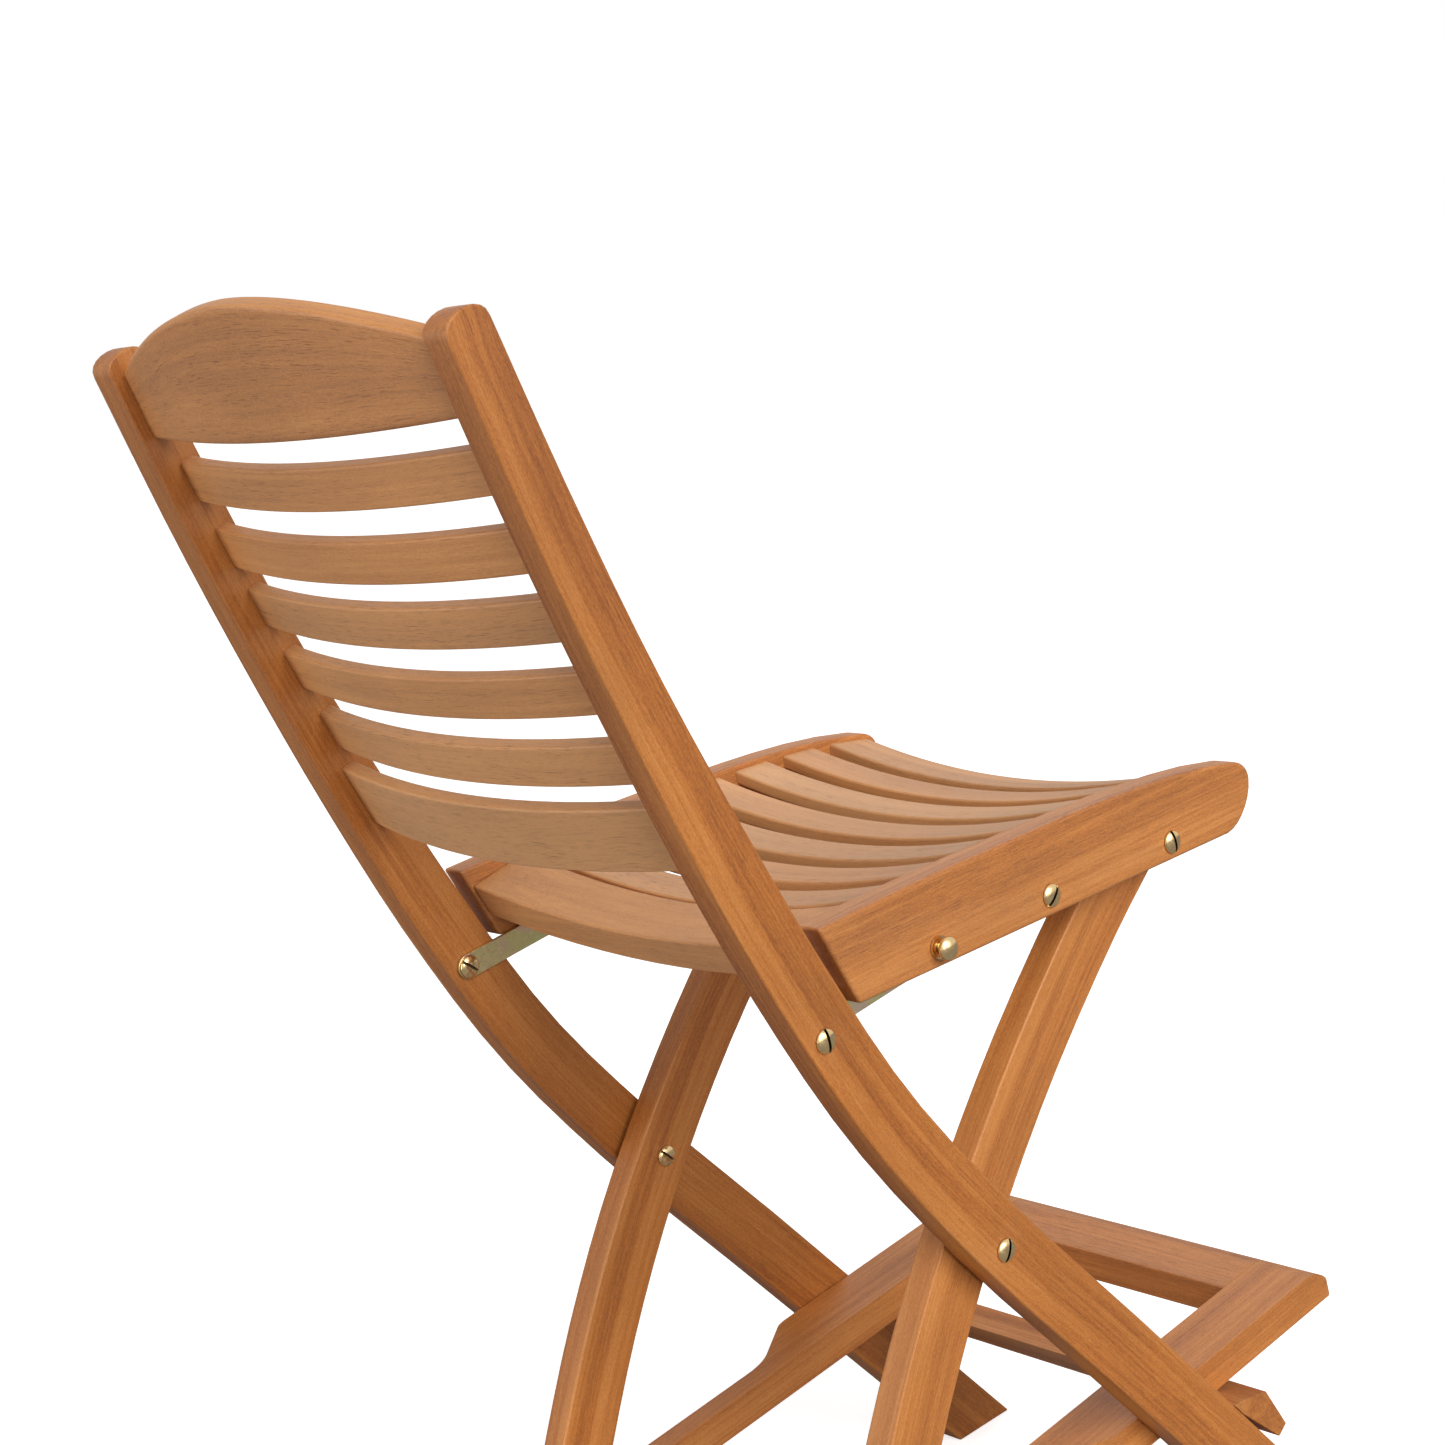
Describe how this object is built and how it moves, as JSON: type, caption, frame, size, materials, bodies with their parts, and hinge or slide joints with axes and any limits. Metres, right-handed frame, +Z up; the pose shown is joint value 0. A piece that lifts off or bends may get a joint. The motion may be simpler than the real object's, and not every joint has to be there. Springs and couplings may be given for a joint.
{
  "type": "folding high chair",
  "caption": "Slatted teak folding high chair with a dished seat, curved backrest and a hinged footrest; folds flat for storage.",
  "frame": {"origin": "on the floor, under the centre of the open chair's bounding box", "axes": "+Z up, the chair faces -Y, the sitter's left is +X"},
  "size_m": [0.4778, 0.7564, 1.2014],
  "materials": {
    "teak": "oiled satin, fine straight grain",
    "brass": "polished, slotted domed heads",
    "zinc": "yellow zinc plate"
  },
  "bodies": {
    "frame": {"right_post": "teak", "left_post": "teak", "crest_rail": "teak", "back_slat_1": "teak", "back_slat_2": "teak", "back_slat_3": "teak", "back_slat_4": "teak", "back_slat_5": "teak", "lower_back_slat": "teak", "front_stretcher": "teak", "back_link_nut_right": "brass", "back_link_nut_left": "brass", "back_link_screw_right": "brass", "back_link_screw_left": "brass", "cross_nut_right": "brass", "cross_nut_left": "brass", "cross_screw_right": "brass", "cross_screw_left": "brass", "cross_spacer_right": "brass", "cross_spacer_left": "brass"},
    "legs": {"right_inner_leg": "teak", "left_inner_leg": "teak", "leg_stretcher": "teak", "footrest_nut_right": "brass", "footrest_nut_left": "brass", "footrest_screw_right": "brass", "footrest_screw_left": "brass", "footrest_washer_right": "brass", "footrest_washer_left": "brass"},
    "seat": {"right_seat_rail": "teak", "left_seat_rail": "teak", "seat_slat_1": "teak", "seat_slat_2": "teak", "seat_slat_3": "teak", "seat_slat_4": "teak", "seat_slat_5": "teak", "seat_slat_6": "teak", "seat_slat_7": "teak", "rear_seat_slat": "teak", "stop_stud_right": "brass", "stop_stud_left": "brass", "seat_link_bolt_right": "brass", "seat_link_bolt_left": "brass", "leg_top_nut_right": "brass", "leg_top_nut_left": "brass", "leg_top_screw_right": "brass", "leg_top_screw_left": "brass", "leg_top_spacer_right": "brass", "leg_top_spacer_left": "brass"},
    "links": {"right_link_bar": "zinc", "left_link_bar": "zinc", "seat_link_head_right": "brass", "seat_link_head_left": "brass"},
    "footrest": {"right_footrest_rail": "teak", "left_footrest_rail": "teak", "footrest_front_bar": "teak"}
  },
  "joints": [
    {"name": "fold_hinge", "type": "hinge", "parent": "frame", "child": "legs", "pos_m": [0, 0.02028, 0.426], "axis": [-1, 0, 0], "range_deg": [0, 65]},
    {"name": "seat_hinge", "type": "hinge", "parent": "legs", "child": "seat", "pos_m": [0, -0.22422, 0.665], "axis": [-1, 0, 0], "range_deg": [-134.3, 0]},
    {"name": "link_hinge", "type": "hinge", "parent": "frame", "child": "links", "pos_m": [0, 0.15728, 0.64], "axis": [-1, 0, 0], "range_deg": [0, 89.5]},
    {"name": "footrest_hinge", "type": "hinge", "parent": "legs", "child": "footrest", "pos_m": [0, 0.17528, 0.172], "axis": [-1, 0, 0], "range_deg": [0, 37]}
  ],
  "couplings": [
    {"joint": "seat_hinge", "follows": "fold_hinge", "ratio": -2.066},
    {"joint": "link_hinge", "follows": "fold_hinge", "ratio": 1.3769}
  ]
}
